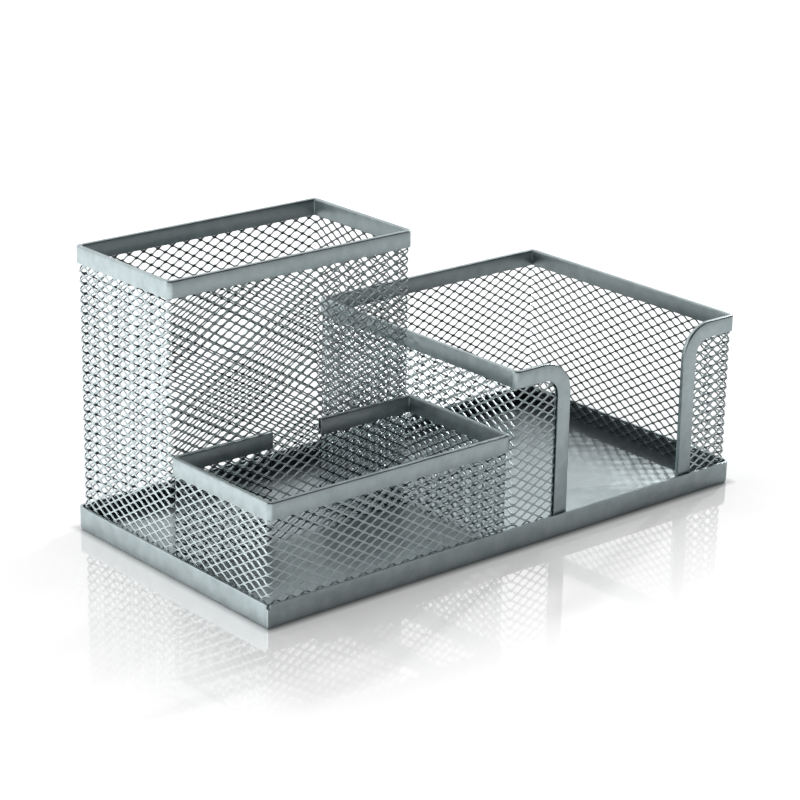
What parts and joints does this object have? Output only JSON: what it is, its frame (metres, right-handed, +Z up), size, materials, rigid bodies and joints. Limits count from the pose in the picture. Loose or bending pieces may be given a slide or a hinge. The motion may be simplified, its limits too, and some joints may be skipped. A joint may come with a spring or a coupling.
{
  "type": "desk organizer",
  "caption": "Silver mesh desk organizer: a tall pen cup, a low clip tray and a note holder with a front slot, each of expanded steel with folded rims, on one shallow sheet-steel base.",
  "frame": {"origin": "on the table, under the middle of the base", "axes": "+X to the right along the front edge, +Y from the front to the back, +Z up"},
  "size_m": [0.205, 0.105, 0.0985],
  "materials": {
    "mesh": "satin silver paint",
    "rim": "satin silver paint",
    "base": "satin silver paint"
  },
  "bodies": {
    "root": {"pen_cup_front_mesh": "mesh", "pen_cup_rear_mesh": "mesh", "pen_cup_left_mesh": "mesh", "pen_cup_right_mesh": "mesh", "tray_front_mesh": "mesh", "tray_left_mesh": "mesh", "tray_right_mesh": "mesh", "tray_rear_left_mesh": "mesh", "tray_rear_right_mesh": "mesh", "note_left_mesh": "mesh", "note_right_mesh": "mesh", "note_rear_mesh": "mesh", "note_front_left_mesh": "mesh", "note_front_right_mesh": "mesh", "pen_cup_rim": "rim", "tray_rim": "rim", "note_rim": "rim", "base_band": "base", "floor_plate": "base"}
  },
  "joints": []
}
